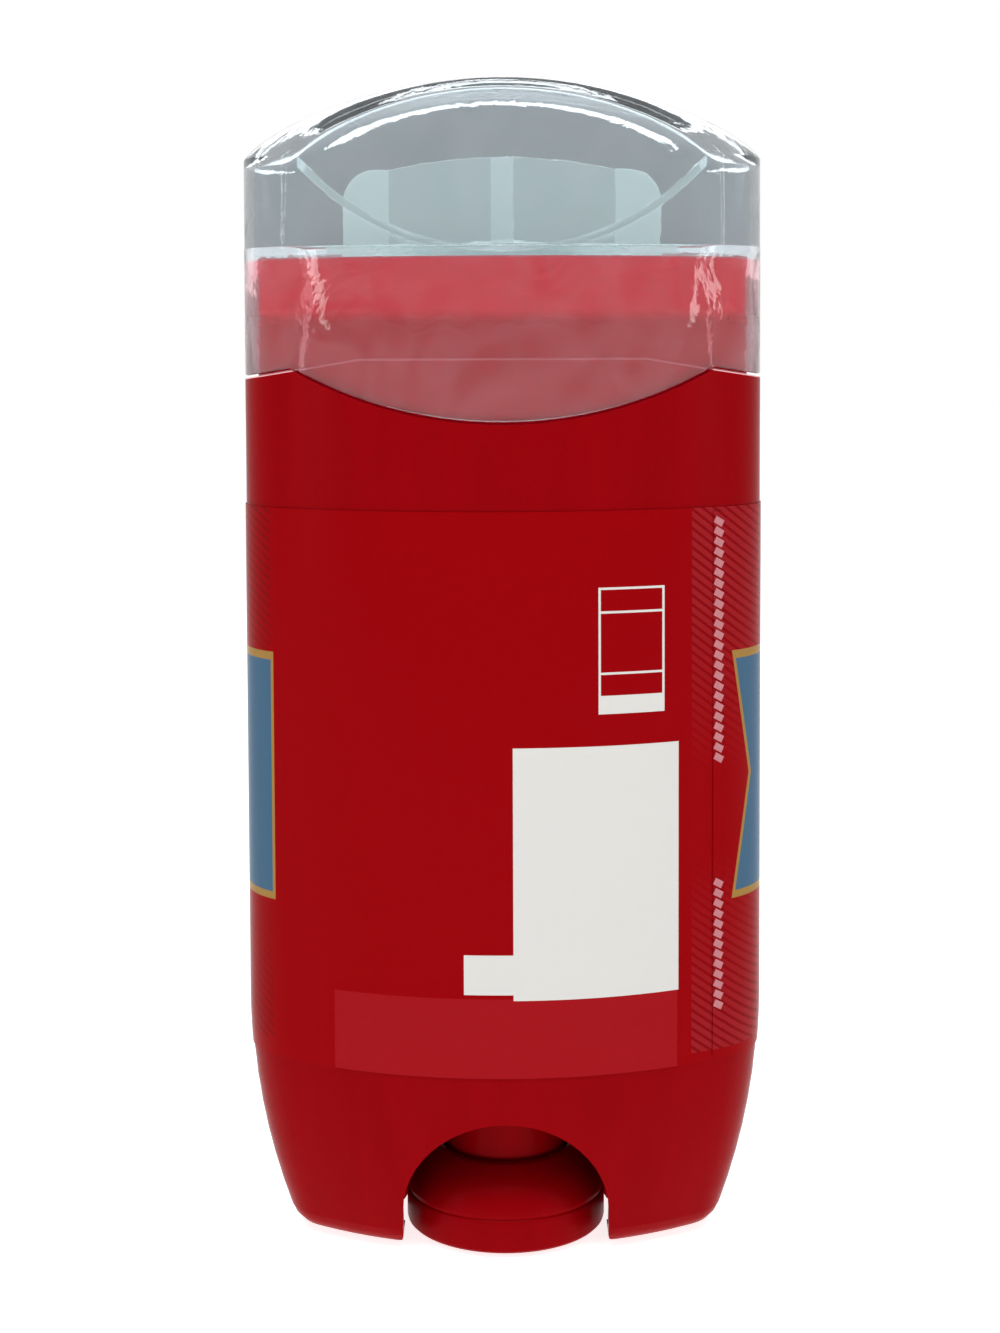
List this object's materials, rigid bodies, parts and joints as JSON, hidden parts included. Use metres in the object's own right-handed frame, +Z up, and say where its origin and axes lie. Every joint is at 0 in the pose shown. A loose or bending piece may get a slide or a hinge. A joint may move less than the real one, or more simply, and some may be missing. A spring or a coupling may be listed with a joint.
{
  "type": "deodorant stick",
  "caption": "Oval twist-up deodorant stick: red barrel with a label film, dial in finger arches, screw lift, clear gel stick, factory seal and clear cap.",
  "frame": {"origin": "the floor under the middle of the foot", "axes": "+Z up through the screw, +X along the width, -Y towards the label side"},
  "size_m": [0.0644, 0.0342, 0.1436],
  "materials": {
    "barrel": "glossy moulded red polypropylene",
    "dial": "glossy moulded red polypropylene",
    "feed_screw": "plain moulded white plastic",
    "elevator": "plain moulded white plastic",
    "gel_stick": "clear pale turquoise solid gel",
    "factory_seal": "clear moulded plastic",
    "cap": "clear moulded plastic with a faint blue-grey tint",
    "label_film": "glossy red film with printed fields of colour"
  },
  "bodies": {
    "barrel": {"barrel": "barrel", "label_film": "label_film"},
    "drive": {"dial": "dial", "feed_screw": "feed_screw"},
    "stick": {"elevator": "elevator", "gel_stick": "gel_stick", "factory_seal": "factory_seal"},
    "cap": {"cap": "cap"}
  },
  "joints": [
    {"name": "dial_turn", "type": "hinge", "parent": "barrel", "child": "drive", "pos_m": [0, 0, 0], "axis": [0, 0, -1], "range_deg": [0, 6840]},
    {"name": "elevator_rise", "type": "slide", "parent": "barrel", "child": "stick", "axis": [0, 0, 1], "range_m": [0, 0.076]},
    {"name": "cap_lift", "type": "slide", "parent": "stick", "child": "cap", "axis": [0, 0, 1], "range_m": [0, 0.04]}
  ],
  "couplings": [
    {"joint": "dial_turn", "follows": "elevator_rise", "rad_per_m": 1570.8}
  ]
}
